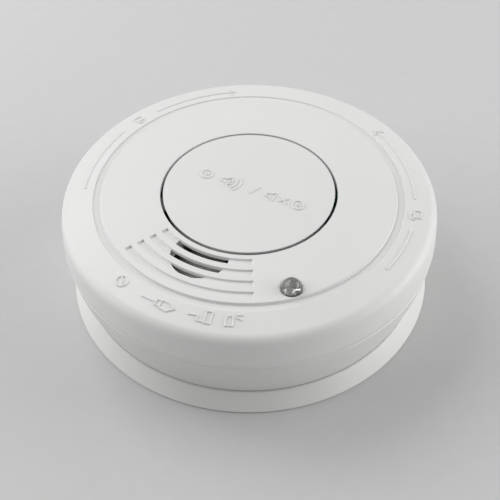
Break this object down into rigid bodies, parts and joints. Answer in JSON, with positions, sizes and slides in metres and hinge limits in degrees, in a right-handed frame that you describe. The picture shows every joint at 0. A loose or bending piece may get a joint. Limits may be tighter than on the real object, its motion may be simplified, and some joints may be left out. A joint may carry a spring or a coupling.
{
  "type": "smoke alarm",
  "caption": "Round ceiling smoke alarm: a twist-off head with a test button, sound slots and an indicator LED on a flared mounting base, with a block battery inside.",
  "frame": {"origin": "middle of the mounting base's underside, where it meets the ceiling or a table", "axes": "+Z from the mounting surface towards the test button, -Y towards the front, where the sound slots and the LED are, +X to the right seen from the front"},
  "size_m": [0.1024, 0.1024, 0.033],
  "materials": {
    "base_plastic": "fine moulded satin, white",
    "housing_plastic": "fine moulded satin, white",
    "cover_plastic": "fine moulded satin, white",
    "button_plastic": "fine moulded satin, white",
    "led_lens": "clear moulded epoxy",
    "black_plastic": "matt moulded, black",
    "conductive_rubber": "matt",
    "spring_steel": "drawn wire",
    "tinned_metal": "tinned",
    "screw_steel": "zinc plated",
    "board_laminate": "green solder resist",
    "gold_pads": "gold plated",
    "chip_epoxy": "moulded epoxy",
    "capacitor_sleeve": "shrunk sleeve",
    "ferrite": "sintered",
    "brass_plate": "rolled",
    "piezo_silver": "silvered",
    "screen_steel": "etched",
    "emitter_epoxy": "tinted epoxy",
    "detector_epoxy": "dark epoxy",
    "battery_jacket": "printed metal jacket, plain",
    "flag_plastic": "moulded, red",
    "label_paper": "blank label"
  },
  "bodies": {
    "base": {"mounting_base": "base_plastic"},
    "head": {"back_housing": "housing_plastic", "cover": "cover_plastic", "return_spring": "spring_steel", "indicator_led": "led_lens", "led_leads": "tinned_metal", "circuit_board": "board_laminate", "controller_ic": "chip_epoxy", "ic_leads": "tinned_metal", "capacitors": "capacitor_sleeve", "resistors": "chip_epoxy", "horn_coil": "ferrite", "test_pads": "gold_pads", "battery_contacts": "tinned_metal", "horn_housing": "black_plastic", "horn_cap": "black_plastic", "piezo_plate": "brass_plate", "piezo_ceramic": "piezo_silver", "chamber_base": "black_plastic", "chamber_cap": "black_plastic", "insect_screen": "screen_steel", "ir_emitter": "emitter_epoxy", "photodiode": "detector_epoxy", "case_screws": "screw_steel", "board_screws": "screw_steel", "flag_pin": "screw_steel", "flag_spring": "spring_steel", "rating_label": "label_paper"},
    "button": {"test_button": "button_plastic", "contact_pill": "conductive_rubber"},
    "battery": {"battery_case": "battery_jacket", "battery_plate": "black_plastic", "battery_terminals": "tinned_metal"},
    "flag": {"battery_flag": "flag_plastic"}
  },
  "joints": [
    {"name": "head_twist", "type": "hinge", "parent": "base", "child": "head", "pos_m": [0, 0, 0.005], "axis": [0, 0, 1], "range_deg": [0, 21]},
    {"name": "button_press", "type": "slide", "parent": "head", "child": "button", "axis": [0, 0, -1], "range_m": [0, 0.0012], "stiffness_N_per_m": 1200, "springref_m": -0.0006, "deforming": ["return_spring"]},
    {"name": "battery_out", "type": "slide", "parent": "head", "child": "battery", "axis": [0, 0, -1], "range_m": [0, 0.055]},
    {"name": "flag_swing", "type": "hinge", "parent": "head", "child": "flag", "pos_m": [0.012, -0.0156, 0.009], "axis": [-1, 0, 0], "range_deg": [0, 40]}
  ],
  "couplings": [
    {"joint": "flag_swing", "follows": "battery_out", "rad_per_m": 12.6}
  ]
}
